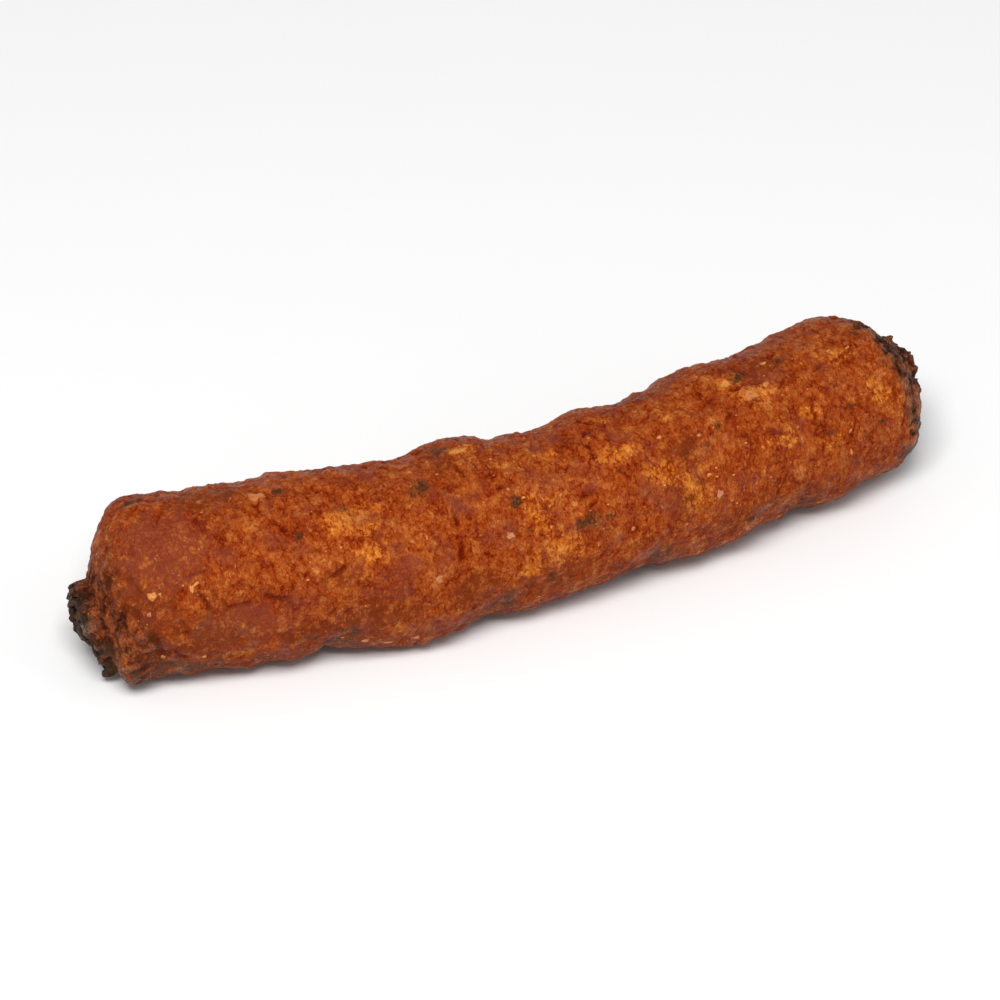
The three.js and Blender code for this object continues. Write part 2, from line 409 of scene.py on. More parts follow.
class Crust:
    """The crust at arrays of places: its points, the way out, and what covers it."""

    def __init__(self, along, angle, lift=0.0):
        radius, lean = ring(along)
        point, ahead, front = centreline(along)
        upward = np.array([0, 0, 1.0])
        outward = np.cos(angle)[..., None] * front + np.sin(angle)[..., None] * upward
        skin = point + radius[..., None] * outward
        self.along, self.angle = along, angle
        self.straight = np.stack([along, radius * np.cos(angle), radius * np.sin(angle)], -1)
        self.normal = np.cos(lean)[..., None] * outward + np.sin(lean)[..., None] * ahead
        self.plug = np.zeros_like(along)
        relief = swells(along, radius, angle) + notches(along, angle)
        relief += grain(skin, CRUST_GRAIN, CRUST_SEED)
        for end in ENDS:
            cover = plug_cover(end, skin)
            rough = grain(skin, PLUG_GRAIN, end["seed"] + len(PLUG_OUTLINE))
            relief = relief + cover * (end["plug"][3] + rough)
            self.plug = np.maximum(self.plug, cover)
        relief = relief + self.fine_relief() + lift
        self.points = skin + relief[..., None] * self.normal
        self.points[..., 2] = np.maximum(self.points[..., 2], FLAT_DEPTH - RADIUS)

    def fine_relief(self):
        """Wrinkles, granules, creases, pits and torn blocks, which the solid leaves out."""
        p = self.straight
        warp = WARP * np.stack([unevenness(p, WARP_SIZE, WARP_SEED + n) for n in range(3)], -1)
        relief = self.wrinkles(warp)
        self.singe = singe(self)
        self.mark_torn_ends()
        rough = self.torn_blocks(warp)
        relief += SINGED_BLOCKS * self.singe * rough
        return relief * (1 - self.plug) + self.plug * rough

    def wrinkles(self, warp):
        """The relief of the crust: grain, granules, creases and pits."""
        p = self.straight
        radius = np.hypot(p[..., 1], p[..., 2])
        self.crease = crease_cover(self.along, radius, self.angle, warp)
        spot, chance = cells(p, PIT_SPACING, PIT_SEED)
        pit = 1 - smooth(*PIT_FLANK, spot / (PIT_RADIUS + chance))
        self.pit = (chance < PIT_SHARE) * pit
        self.granule = np.zeros_like(self.along)
        for size, rise, seed in GRANULES:
            away, _ = cells((p + GRANULE_WARP * warp) * GRANULE_STRETCH, size, seed)
            bump = 1 - smooth(*(share * size for share in GRANULE_FLANK), away)
            self.granule += rise * (bump - GRANULE_MEAN)
        fine = grain((p + warp) * STREAKED, FINE_GRAIN, FINE_SEED)
        return fine - self.crease - PIT_DEPTH * self.pit + self.granule

    def mark_torn_ends(self):
        """Where the ends are torn open, and how dark grey they are there: partly char, partly
        painted shade on the side that faces away.
        """
        p = self.straight
        facing = np.where(self.along < 0, *(self.normal @ way for way in LESS_BURNT_AND_SHADED))
        burnt_and_shaded = 1 - smooth(*BURNT_AND_SHADED_FACING, facing + ragged(p, BURNT_AND_SHADED_RAGGED))
        swing = TORN_SWING * np.cos(np.radians(off_around(self.angle, TORN_FURTHEST)))
        edge = RIGHT_END["reach"] - TORN_REACH - swing - ragged(p, TORN_RAGGED)
        self.face = smooth(-TORN_EDGE, TORN_EDGE, self.along - edge)
        self.bare = np.maximum(self.plug, self.face * burnt_and_shaded)
        self.burnt_and_shaded = burnt_and_shaded * np.where(self.along < 0, *BURNT_AND_SHADED_AMOUNT)

    def torn_blocks(self, warp):
        """The relief of torn meat: angular blocks with clefts between them."""
        p = self.straight
        rough = grain(p, PLUG_FINE_GRAIN, TORN_SEED)
        self.block = np.zeros_like(self.along)
        for size, spread, seed in BLOCKS:
            away, value = cells(p + BLOCK_WARP * warp, size, seed)
            cleft = smooth(*(share * size for share in CLEFT_FLANK), away)
            rough += spread * (value - 0.5 - CLEFT_DEPTH * cleft)
            self.block += value / 2 - CLEFT_DEPTH * cleft
        return np.where(rough > 0, ROUGH_TOP * np.tanh(rough / ROUGH_TOP), rough)


# ---------------- where the crust changes colour

# Each place: along, around, half length, half width.
AMBER = (
    (-32, 63, 5, 3.4),
    (-30, 40, 4, 2.6),
    (-8.5, 102, 3, 1.6),
    (-1, 80, 3, 2),
    (3.5, 15, 4.4, 3.2),
    (-3, 4, 3, 1.6),
    (1, 42, 2.6, 4),
    (17, 65, 4.4, 1.8),
    (30, 26, 3.4, 4.4),
    (24, 44, 3, 3),
    (46.5, 75, 4.2, 3.2),
    (43, 88, 2.4, 1.6),
    (66, 72, 3.4, 1.4),
    (48, 38, 4, 2.4),
    (-54, -21, 3, 1.4),
    (55, 47, 2.6, 1.4),
    (58, 20, 2.0, 1.3),
    (6, 80, 2.4, 1.3),
    (69, 40, 2, 2.6),
)
CHAR = (
    (-69.5, 108, 2, 1.4),
    (-43.4, 97, 1.2, 0.9),
    (-42, 60, 0.9, 0.8),
    (-33.3, 73, 1.1, 0.8),
    (-19, 77, 2.5, 2),
    (-12.5, 105, 2.6, 1.2),
    (-2.8, 53, 1.2, 1.1),
    (10, 27, 3, 1.9),
    (1.8, -5, 1.2, 1),
    (-2.5, -8, 1, 0.9),
    (34, 73, 0.8, 0.7),
    (37.5, 60, 0.9, 0.7),
    (46.5, 90, 2.2, 1.3),
    (56, 90, 1.3, 0.6),
    (58, 28, 0.8, 0.6),
    (63, 39, 0.7, 0.6),
    (68, 20, 0.8, 0.6),
    (40, -11, 0.9, 0.6),
    (-73.5, -16, 1.2, 1.6),
)
# Purple-brown patches: a painted sheen, the white surroundings reflected on the dark crust.
PAINTED_SHEEN_PATCHES = (
    (-66, 62, 9, 9),
    (-52, 8, 6, 4),
    (-55, 54, 2.4, 2.2),
    (6.5, 25, 1.6, 1.8),
    (11, 49, 1.6, 1.2),
    (62, 0, 1.6, 1.2),
    (-24, 30, 3, 2),
    (-13, 60, 2.5, 2),
    (24, 20, 2.6, 1.8),
    (52, 80, 3, 1.6),
)
SCORCH = (
    (-62, -35, 5, 3.5),
    (-35, -30, 3, 5.5),
    (-7, -22, 2, 3),
    (22.5, -18, 2, 3),
    (54.5, -38, 2.5, 4),
    (77.5, -27, 3, 3.2),
    (-74.6, -22, 1.7, 2.8),
    (-73.2, -50, 2, 3),
    (-72.1, -26, 2.2, 2.4),
    (-64.5, -25, 3, 1.5),
)
DUSK = (
    (-72, 24, 11, 15),
    (-63, -8, 11, 7),
    (-76, 60, 5, 8),
    (-57, 102, 9, 5),
    (-42, -12, 9, 5),
    (-13, 96, 4, 6),
    (2, -8, 8, 5),
    (27, 18, 5, 6),
    (30, 52, 4, 4),
    (51, 90, 7, 4),
    (40, -8, 12, 4),
    (76, 100, 5, 8),
    (-71, -20, 9, 10),
    (-57, 3, 11, 9),
    (-35, 28, 4, 3),
    (77, 45, 4, 12),
    (-31, -4, 12, 5),
    (-13, 2, 6, 4),
)
HIDDEN_ALONG = (-70, 73)
HIDDEN_AROUND = (135, 285)
HIDDEN_LENGTHS = (0.5, 1.4)
HIDDEN_WIDTHS = (0.5, 0.9)

# Low down the crust is darker, a painted shade, and scorched in the notches: degrees from the
# middle of that.
BELLY_MIDDLE = -62
BELLY_FADE = (12, 60)
NOTCH_SCORCH_FADE = (15, 50)
NOTCH_SCORCH_BEYOND = 1.2
NOTCH_SCORCH_LENGTH = 2.2

# How far out a patch starts to fade and ends, in half lengths, and how ragged its edge is.
PATCH_FULL = 0.6
PATCH_END = 1.2
DUSK_FULL = 0.1
RAGGED_EDGE = 0.35
CLEANER_EDGE = 0.3
DEEP_CREASE = 0.6


def hidden(count, size, seed):
    """More such places on the sides that the front view doesn't show."""
    rng = np.random.default_rng(seed)
    for _ in range(count):
        length = size * rng.uniform(*HIDDEN_LENGTHS)
        along, around = rng.uniform(*HIDDEN_ALONG), rng.uniform(*HIDDEN_AROUND)
        yield along, around, length, length * rng.uniform(*HIDDEN_WIDTHS)


AMBER += tuple(hidden(16, size=4.5, seed=501))
CHAR += tuple(hidden(16, size=1.3, seed=502))
PAINTED_SHEEN_PATCHES += tuple(hidden(10, size=2.2, seed=503))
SCORCH += tuple(hidden(6, size=3, seed=504))
DUSK += tuple(hidden(14, size=8, seed=505))


def patches(crust, places, raggedness, full=PATCH_FULL):
    """How far the places cover the crust, 0 to 1, with ragged edges."""
    wobble = raggedness * ragged(crust.straight, PATCH_RAGGED)
    cover = np.zeros_like(crust.along)
    for along, around, half_length, half_width in places:
        across = np.radians(off_around(crust.angle, around)) * RADIUS
        distance = np.hypot((crust.along - along) / half_length, across / half_width) + wobble
        cover = np.maximum(cover, 1 - smooth(full, PATCH_END, distance))
    return cover


def browner_and_shaded(crust):
    """Where the crust is darker and browner: in patches, and low down, where the darkening is
    painted shade.
    """
    off = np.abs(off_around(crust.angle, BELLY_MIDDLE)) + ragged(crust.straight, BELLY_RAGGED)
    low = 1 - smooth(*BELLY_FADE, off)
    return np.maximum(patches(crust, DUSK, CLEANER_EDGE, DUSK_FULL), low)


def scorch(crust):
    """Where the crust is scorched: in patches, and in the notches."""
    notched = np.zeros_like(crust.along)
    for place in NOTCH_PLACES:
        beyond = (crust.along - place - NOTCH_SCORCH_BEYOND) / NOTCH_SCORCH_LENGTH
        notched = np.maximum(notched, np.exp(-(beyond**2)))
    off = np.abs(off_around(crust.angle, NOTCH_MIDDLE)) + ragged(crust.straight, NOTCH_RAGGED)
    low = 1 - smooth(*NOTCH_SCORCH_FADE, off)
    return np.maximum(patches(crust, SCORCH, RAGGED_EDGE), notched * low)


def crust_attributes(crust):
    """What the crust's material reads at each point of the mesh."""
    return {
        "bare": crust.bare,
        "crease": np.clip(crust.crease / DEEP_CREASE, 0, 1),
        "granule": crust.granule,
        "singe": crust.singe,
        "block": crust.block,
        "burnt_and_shaded": crust.burnt_and_shaded,
        "face": crust.face,
        "browner_and_shaded": browner_and_shaded(crust),
        "pit": crust.pit,
        "amber": patches(crust, AMBER, RAGGED_EDGE),
        "char": patches(crust, CHAR, CLEANER_EDGE),
        "painted_sheen": patches(crust, PAINTED_SHEEN_PATCHES, CLEANER_EDGE),
        "scorch": scorch(crust),
    }


# ---------------- the crust's mesh


def crust_rows():
    """Where the rings of points lie along the sausage, and the two tips that close it."""
    opening = np.linspace(0, math.pi / 2, DOME_ROWS + 1)
    left, right = (e["side"] * (e["reach"] - e["dome"] * (1 - np.cos(opening))) for e in ENDS)
    steps = round((right[-1] - left[-1]) / BARREL_STEP)
    barrel = np.linspace(left[-1], right[-1], steps + 1)
    return np.concatenate([left[1:-1], barrel, right[-2:0:-1]]), (left[0], right[0])


def make_crust():
    rows, tips = crust_rows()
    angles = np.arange(COLUMNS) / COLUMNS * 2 * math.pi - math.pi
    along = np.concatenate([np.repeat(rows, COLUMNS), tips])
    angle = np.concatenate([np.tile(angles, len(rows)), [0, 0]])
    crust = Crust(along, angle)
    left_tip, right_tip = len(along) - 2, len(along) - 1
    last = (len(rows) - 1) * COLUMNS
    column = np.arange(COLUMNS)
    after = (column + 1) % COLUMNS
    low = (np.arange(len(rows) - 1) * COLUMNS)[:, None]
    quads = np.stack([low + column, low + COLUMNS + column, low + COLUMNS + after, low + after], -1)
    faces = quads.reshape(-1, 4).tolist()
    faces += [(left_tip, a, b) for a, b in zip(column.tolist(), after.tolist())]
    faces += [(right_tip, last + b, last + a) for a, b in zip(column.tolist(), after.tolist())]
    return crust, faces


crust, crust_faces = make_crust()
low_corner, high_corner = (np.array(corner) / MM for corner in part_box("frikandel"))
own_low, own_high = crust.points.min(0), crust.points.max(0)
# From the form's own origin, on the centreline, to the part's.
PLACE = (low_corner + high_corner - own_low - own_high) / 2
PLACE[2] = low_corner[2] - own_low[2]


# ---------------- materials

SAME = (1, 1, 1)
SEED_STEP = (7.3, 3.1, 5.7)  # a pattern is moved by this much for each seed
WARP_IN_LUMPS = (0.8, 0.8, 0.8)
DOT_FLANK = (1.2, 0.6)  # where a dot ends and is full, in its radii


def per_metre(stretch, size):
    return [value / (size * MM) for value in stretch]


class Graph:
    """The node graph of one material. Sizes of patterns are in millimetres."""

    def __init__(self, name):
        self.material = bpy.data.materials.new(name)
        self.material.use_nodes = True
        self.tree = self.material.node_tree
        self.shader = self.tree.nodes["Principled BSDF"]
        self.place = self.node("ShaderNodeTexCoord").outputs["Object"]

    def node(self, kind, inputs=(), **settings):
        node = self.tree.nodes.new(kind)
        for key, value in settings.items():
            setattr(node, key, value)
        for key, value in dict(inputs).items():
            if isinstance(value, bpy.types.NodeSocket):
                self.tree.links.new(value, node.inputs[key])
            else:
                node.inputs[key].default_value = value
        return node

    def attribute(self, name):
        return self.node("ShaderNodeAttribute", attribute_name=name).outputs["Fac"]

    def vector_multiply_add(self, a, factor, b):
        inputs = {0: a, 1: factor, 2: b}
        return self.node("ShaderNodeVectorMath", inputs, operation="MULTIPLY_ADD").outputs[0]

    def spot(self, size, seed, stretch=SAME):
        """The place in the part, scaled, in a part of the pattern that belongs to the seed."""
        away = [seed * step for step in SEED_STEP]
        return self.vector_multiply_add(self.place, per_metre(stretch, size), away)

    def noise(self, size, detail=3, roughness=0.6, distortion=0.0, seed=0, stretch=SAME):
        inputs = {
            "Vector": self.spot(size, seed, stretch),
            "Scale": 1,
            "Detail": detail,
            "Roughness": roughness,
            "Distortion": distortion,
        }
        return self.node("ShaderNodeTexNoise", inputs).outputs["Fac"]

    def red(self, colour):
        return self.node("ShaderNodeSeparateColor", {"Color": colour}).outputs["Red"]

    def dots(self, spacing, radius, share, seed, stretch=SAME):
        """Dots, 1 in their middle, in a share of the cells of a random pattern."""
        inputs = {"Vector": self.spot(spacing, seed, stretch), "Scale": 1}
        cell = self.node("ShaderNodeTexVoronoi", inputs)
        chosen = self.math("LESS_THAN", self.red(cell.outputs["Color"]), share)
        away = self.multiply(cell.outputs["Distance"], spacing / radius)
        return self.multiply(self.spread(away, *DOT_FLANK), chosen)

    def lumps(self, spacing, seed, warp, stretch=SAME):
        """Packed lumps: the distance to the edge between two, and a random value for each."""
        place = self.spot(spacing, seed, stretch)
        inputs = {"Vector": self.vector_multiply_add(warp, WARP_IN_LUMPS, place), "Scale": 1}
        edge = self.node("ShaderNodeTexVoronoi", inputs, feature="DISTANCE_TO_EDGE")
        cell = self.node("ShaderNodeTexVoronoi", inputs)
        return edge.outputs["Distance"], self.red(cell.outputs["Color"])

    def warp(self, size, seed):
        """A random vector, to bend a pattern with."""
        inputs = {"Vector": self.spot(size, seed), "Scale": 1, "Detail": 2}
        return self.node("ShaderNodeTexNoise", inputs).outputs["Color"]

    def ramp(self, value, stops):
        node = self.node("ShaderNodeValToRGB", {"Fac": value})
        elements = node.color_ramp.elements
        while len(elements) < len(stops):
            elements.new(0.5)
        for element, (place, colour) in zip(elements, stops):
            element.position = place
            element.color = (*colour, 1)
        return node.outputs["Color"]

    def weigh(self, base, patterns, weights):
        """The base and each pattern less its middle, times its weight."""
        for name, (middle, weight) in weights.items():
            base = self.multiply_add(patterns[name], weight, self.add(base, -middle * weight))
        return base

    def add(self, value, amount):
        if isinstance(value, bpy.types.NodeSocket):
            return self.math("ADD", value, amount)
        return value + amount

    def math(self, operation, a, b=0.0):
        return self.node("ShaderNodeMath", {0: a, 1: b}, operation=operation).outputs[0]

    def multiply(self, a, b):
        return self.math("MULTIPLY", a, b)

    def either(self, a, b):
        return self.math("MAXIMUM", a, b)

    def multiply_add(self, a, factor, b):
        inputs = {0: a, 1: factor, 2: b}
        return self.node("ShaderNodeMath", inputs, operation="MULTIPLY_ADD").outputs[0]

    def spread(self, value, low, high, to_low=0.0, to_high=1.0):
        """Maps low..high to to_low..to_high, smoothly and without going beyond them."""
        if low > high:
            low, high, to_low, to_high = high, low, to_high, to_low
        ends = {"From Min": low, "From Max": high, "To Min": to_low, "To Max": to_high}
        inputs = {"Value": value, **ends}
        return self.node("ShaderNodeMapRange", inputs, interpolation_type="SMOOTHSTEP").outputs[0]

    def mix(self, share, under, over):
        def colour(value):
            return value if isinstance(value, bpy.types.NodeSocket) else (*value, 1)

        node = self.node("ShaderNodeMix", {"Factor": share}, data_type="RGBA")
        sockets = [s for s in node.inputs if s.type == "RGBA"]
        for socket, value in zip(sockets, (colour(under), colour(over))):
            if isinstance(value, bpy.types.NodeSocket):
                self.tree.links.new(value, socket)
            else:
                socket.default_value = value
        return [s for s in node.outputs if s.type == "RGBA"][0]

    def finish(self, colour, roughness, height=None, depth=0.1, **constants):
        self.tree.links.new(colour, self.shader.inputs["Base Color"])
        self.tree.links.new(roughness, self.shader.inputs["Roughness"])
        if height is not None:
            inputs = {"Height": height, "Distance": depth * MM, "Strength": 1.0}
            bump = self.node("ShaderNodeBump", inputs)
            self.tree.links.new(bump.outputs["Normal"], self.shader.inputs["Normal"])
        for name, value in constants.items():
            self.shader.inputs[name.replace("_", " ")].default_value = value
        return self.material


# Colours, as linear red, green and blue. The crust goes from deep red to amber; its creases and
# pits are pushed towards the deep red as painted shade.
CRUST_TONES = (
    (0.00, (0.120, 0.0060, 0.0003)),
    (0.20, (0.195, 0.0190, 0.0012)),
    (0.35, (0.262, 0.0350, 0.0034)),
    (0.50, (0.320, 0.0560, 0.0078)),
    (0.65, (0.385, 0.0870, 0.0145)),
    (0.80, (0.470, 0.1360, 0.0270)),
    (1.00, (0.620, 0.2550, 0.0650)),
)
AMBER_TONES = (
    (0.20, (0.300, 0.0480, 0.0030)),
    (0.50, (0.470, 0.1120, 0.0080)),
    (0.75, (0.600, 0.1750, 0.0180)),
    (1.00, (0.720, 0.2700, 0.0550)),
)
# Darker brown, for the browner patches and for the painted shade low down.
BROWN_AND_SHADE = (0.165, 0.0270, 0.0050)
# Purple-brown of a painted sheen.
PAINTED_SHEEN_COLOUR = (0.210, 0.0420, 0.0220)
SINGED_TONES = (
    (0.00, (0.035, 0.0090, 0.0040)),
    (0.30, (0.100, 0.0260, 0.0120)),
    (0.50, (0.185, 0.0520, 0.0240)),
    (0.75, (0.275, 0.0850, 0.0320)),
    (1.00, (0.420, 0.1600, 0.0500)),
)
CHAR_BROWN = (0.105, 0.0340, 0.0120)
CHAR_BLACK = (0.045, 0.0180, 0.0090)
SCORCH_GREY = (0.075, 0.0360, 0.0220)
# Pale specks, also used as painted glints.
PALE_FLECK_AND_GLINT = (0.660, 0.3300, 0.1300)
ORANGE_BROWN = (0.360, 0.0700, 0.0090)
TORN_TONES = (
    (0.00, (0.030, 0.0050, 0.0020)),
    (0.35, (0.085, 0.0200, 0.0080)),
    (0.60, (0.130, 0.0360, 0.0160)),
    (0.80, (0.220, 0.0680, 0.0220)),
    (1.00, (0.400, 0.1400, 0.0350)),
)
# Dark grey of the torn meat: char, and painted shade on the side that faces away.
BURNT_AND_SHADED_TONES = (
    (0.00, (0.020, 0.0080, 0.0040)),
    (0.40, (0.042, 0.0210, 0.0130)),
    (0.70, (0.078, 0.0400, 0.0250)),
    (1.00, (0.130, 0.0700, 0.0480)),
)
CHIP_TONES = (
    (0.00, (0.660, 0.2700, 0.0550)),
    (0.50, (0.500, 0.1800, 0.0500)),
    (1.00, (0.500, 0.2250, 0.1100)),
)
FLOOR_WHITE = (0.88, 0.88, 0.88)
FLOOR_SHADE = [0.98 * value for value in FLOOR_WHITE]


# Torn meat: red-brown, and dark grey where burnt_and_shaded says, which is partly char and partly
# painted shade.
def torn_meat(g, value, burnt_and_shaded):
    return g.mix(burnt_and_shaded, g.ramp(value, TORN_TONES), g.ramp(value, BURNT_AND_SHADED_TONES))


# How the tone, the place on a ramp above, is made up: a base, then the middle and the weight of
# each pattern. The bumps are made up in the same way.
CRUST_TONE = 0.513
CRUST_WEIGHTS = {
    "broad": (0.5, 0.38),
    "mottle": (0.5, 0.75),
    "fine": (0.5, 0.90),
    "lump": (0.5, 0.20),
    "speck": (0.5, 0.18),
    "granule": (0.0, 0.6),
    "amber": (0.0, 0.10),
    "seam": (0.1, -0.20),
    "vein": (0.1, -0.30),
    # Creases and pits darken the tone: painted shade in the hollows.
    "crease": (0.0, -0.60),
    "pit": (0.0, -0.2),
}
GOLD_WEIGHTS = {"speck": (0.5, 0.25), "fine": (0.5, 0.4)}
TORN_TONE = 0.48
TORN_WEIGHTS = {"block": (0.3, 0.8), "mottle": (0.5, 1.9), "fine": (0.5, 1.2)}
# The singed crust is darker under browner_and_shaded too, which holds painted shade low down.
SINGED_WEIGHTS = {"browner_and_shaded": (0.0, -0.2)}
CRUST_BUMPS = {"mottle": (0.5, 1.5), "fine": (0.5, 1.3)}
CRUMB_TONE = 0.18
CRUMB_WEIGHTS = {"shade": (0.0, 0.5), "mottle": (0.5, 1.5), "fine": (0.5, 0.9)}
CRUMB_BUMPS = {"mottle": (0.5, 0.8), "fine": (0.5, 1.0)}
OIL_TINT = (1.0, 0.72, 0.42, 1.0)
MEAT_SCATTER = (1.0, 0.3, 0.1)
CHIP_SCATTER = (1.0, 0.6, 0.3)


def crust_patterns(g, attributes):
    """The patterns of the crust by name, with those that the mesh carries."""
    warp = g.warp(size=1.8, seed=1)
    p = {
        "broad": g.noise(8, detail=1, distortion=0.3, seed=2),
        "mottle": g.noise(2.4, 4, roughness=0.68, distortion=0.15, seed=3, stretch=(1.3, 1, 1)),
        "fine": g.noise(0.62, 2, roughness=0.75, seed=4, stretch=(1.4, 1, 1)),
    }
    edge, p["lump"] = g.lumps(1.5, 5, warp, stretch=(1.25, 1, 1))
    _, p["speck"] = g.lumps(0.7, 12, warp)
    # Dark seams between the lumps, and dark lines that run on along the middle of a noise.
    seam = g.spread(edge, 0.16, 0.0)
    p["seam"] = g.multiply(seam, g.spread(p["mottle"], 0.62, 0.42, to_low=0.2))
    line = g.noise(3.0, 2, roughness=0.55, distortion=0.25, seed=16, stretch=(1.3, 1, 1))
    line = g.spread(g.math("ABSOLUTE", g.add(line, -0.5)), 0.022, 0.0)
    p["vein"] = g.multiply(line, g.spread(p["broad"], 0.60, 0.42, to_low=0.25))
    for name in attributes:
        p[name] = g.attribute(name)
    return p


def fried_crust(attributes):
    g = Graph("fried_crust")
    p = crust_patterns(g, attributes)
    fine, mottle = p["fine"], p["mottle"]
    tone = g.weigh(CRUST_TONE, p, CRUST_WEIGHTS)
    colour = g.ramp(tone, CRUST_TONES)

    # Amber shows most where the crust is light already, and the browner patches, the painted shade
    # low down and the painted sheen where it is dark.
    gold = g.multiply(p["amber"], g.spread(tone, 0.35, 0.65, to_low=0.1, to_high=0.74))
    colour = g.mix(gold, colour, g.ramp(g.weigh(tone, p, GOLD_WEIGHTS), AMBER_TONES))
    # Darker, browner patches, and painted shade low down on the belly.
    browner_and_shaded_share = g.multiply(p["browner_and_shaded"], g.spread(tone, 0.80, 0.35, to_low=0.30, to_high=0.85))
    colour = g.mix(browner_and_shaded_share, colour, BROWN_AND_SHADE)
    # A purple-brown overlay in soft patches, and the listed patches: painted sheen, a painted
    # reflection of the white surroundings.
    painted_sheen = g.noise(5.5, 2, roughness=0.65, distortion=0.3, seed=6)
    painted_sheen = g.spread(painted_sheen, 0.50, 0.74, to_low=0.04, to_high=0.5)
    painted_sheen_patch = g.multiply(p["painted_sheen"], g.spread(tone, 0.9, 0.45, to_low=0.2, to_high=0.6))
    colour = g.mix(g.either(painted_sheen, painted_sheen_patch), colour, PAINTED_SHEEN_COLOUR)

    torn = g.weigh(TORN_TONE, p, TORN_WEIGHTS)
    singed = g.ramp(g.weigh(torn, p, SINGED_WEIGHTS), SINGED_TONES)
    singe = g.multiply(p["singe"], g.spread(mottle, 0.64, 0.44, to_low=0.2, to_high=0.9))
    colour = g.mix(g.either(singe, p["face"]), colour, singed)
    scorched = g.multiply(p["scorch"], g.spread(fine, 0.62, 0.40, to_low=0.45))
    scorched = g.multiply(scorched, g.spread(mottle, 0.62, 0.42, to_low=0.3))
    colour = g.mix(scorched, colour, SCORCH_GREY)

    dots = g.either(
        g.dots(4.2, radius=0.6, share=0.2, seed=7),
        g.dots(2.0, radius=0.3, share=0.25, seed=8),
    )
    colour = g.mix(g.multiply(dots, 0.5), colour, CHAR_BROWN)
    charred = g.mix(g.spread(fine, 0.56, 0.44), CHAR_BROWN, CHAR_BLACK)
    char = g.multiply(p["char"], g.spread(mottle, 0.62, 0.42, to_low=0.35, to_high=0.95))
    colour = g.mix(char, colour, charred)
    # Pale specks: partly real pale specks, partly painted glints.
    flecks_and_glints = g.either(
        g.dots(3.6, radius=0.30, share=0.2, seed=9, stretch=(1, 1.6, 1.6)),
        g.dots(1.7, radius=0.16, share=0.14, seed=10),
    )
    colour = g.mix(g.multiply(flecks_and_glints, 0.7), colour, PALE_FLECK_AND_GLINT)
    # The bare ends take the torn meat, with its painted shade on the side that faces away.
    colour = g.mix(p["bare"], colour, torn_meat(g, torn, p["burnt_and_shaded"]))

    # A thin film of oil in patches, and droplets of it that glint.
    droplets = g.dots(1.1, radius=0.24, share=0.35, seed=13)
    film = g.noise(4, 2, roughness=0.65, seed=15)
    film = g.spread(film, 0.50, 0.70, to_low=0.03, to_high=0.20)
    shine = g.either(film, g.multiply(droplets, 0.8))
    g.tree.links.new(shine, g.shader.inputs["Specular IOR Level"])
    return g.finish(
        colour,
        g.spread(droplets, 0, 1, to_low=0.38, to_high=0.16),
        g.weigh(0.0, p, CRUST_BUMPS),
        depth=0.34,
        Specular_Tint=OIL_TINT,
        Subsurface_Weight=0.08,
        Subsurface_Radius=MEAT_SCATTER,
        Subsurface_Scale=0.6 * MM,
    )


def burnt_crumb():
    g = Graph("burnt_crumb")
    p = {
        "mottle": g.noise(1.6, 4, roughness=0.65, distortion=0.2, seed=20),
        "fine": g.noise(0.5, roughness=0.65, seed=21),
        "shade": g.attribute("shade"),
    }
    torn = g.weigh(CRUMB_TONE, p, CRUMB_WEIGHTS)
    # The crumbs are darker and greyer on the side that faces away: painted shade, over char.
    return g.finish(
        torn_meat(g, torn, g.attribute("burnt_and_shaded")),
        g.spread(p["fine"], 0.3, 0.7, to_low=0.4, to_high=0.65),
        g.weigh(0.0, p, CRUMB_BUMPS),
        depth=0.3,
        Specular_IOR_Level=0.12,
    )


def pale_chip():
    g = Graph("pale_chip")
    colour = g.ramp(g.attribute("tone"), CHIP_TONES)
    stain = g.noise(0.9, 4, roughness=0.7, distortion=0.5, seed=30)
    stain = g.spread(stain, 0.42, 0.66, to_high=0.75)
    colour = g.mix(g.either(stain, g.attribute("rim")), colour, ORANGE_BROWN)
    height = g.noise(0.6, seed=31)
    return g.finish(
        colour,
        g.spread(height, 0.3, 0.7, to_low=0.4, to_high=0.6),
        height,
        depth=0.15,
        Specular_IOR_Level=0.25,
        Subsurface_Weight=0.25,
        Subsurface_Radius=CHIP_SCATTER,
        Subsurface_Scale=0.8 * MM,
    )


def pale_floor():
    g = Graph("pale_floor")
    patchy = g.noise(25, 2, roughness=0.5, seed=40)
    colour = g.mix(patchy, FLOOR_WHITE, FLOOR_SHADE)
    return g.finish(colour, g.spread(patchy, 0, 1, to_low=0.8, to_high=0.95))


# ---------------- the crust


def new_mesh(name, points, faces, attributes, material):
    """A smooth-shaded piece that rides on the part. "points" are in the form's own millimetres."""
    mesh = bpy.data.meshes.new(name)
    mesh.from_pydata(((points + PLACE) * MM).tolist(), [], faces)
    for key, values in attributes.items():
        layer = mesh.attributes.new(key, "FLOAT", "POINT")
        layer.data.foreach_set("value", values.astype(np.float32))
    mesh.materials.append(material)
    mesh.shade_smooth()
    mesh.update()
    piece = bpy.data.objects.new(name, mesh)
    bpy.context.scene.collection.objects.link(piece)
    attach(piece, "root")
    return piece


attributes = crust_attributes(crust)
material = fried_crust(attributes)
crust_piece = new_mesh("crust", crust.points, crust_faces, attributes, material)
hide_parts("frikandel")

# ---------------- burnt crumbs on the torn ends

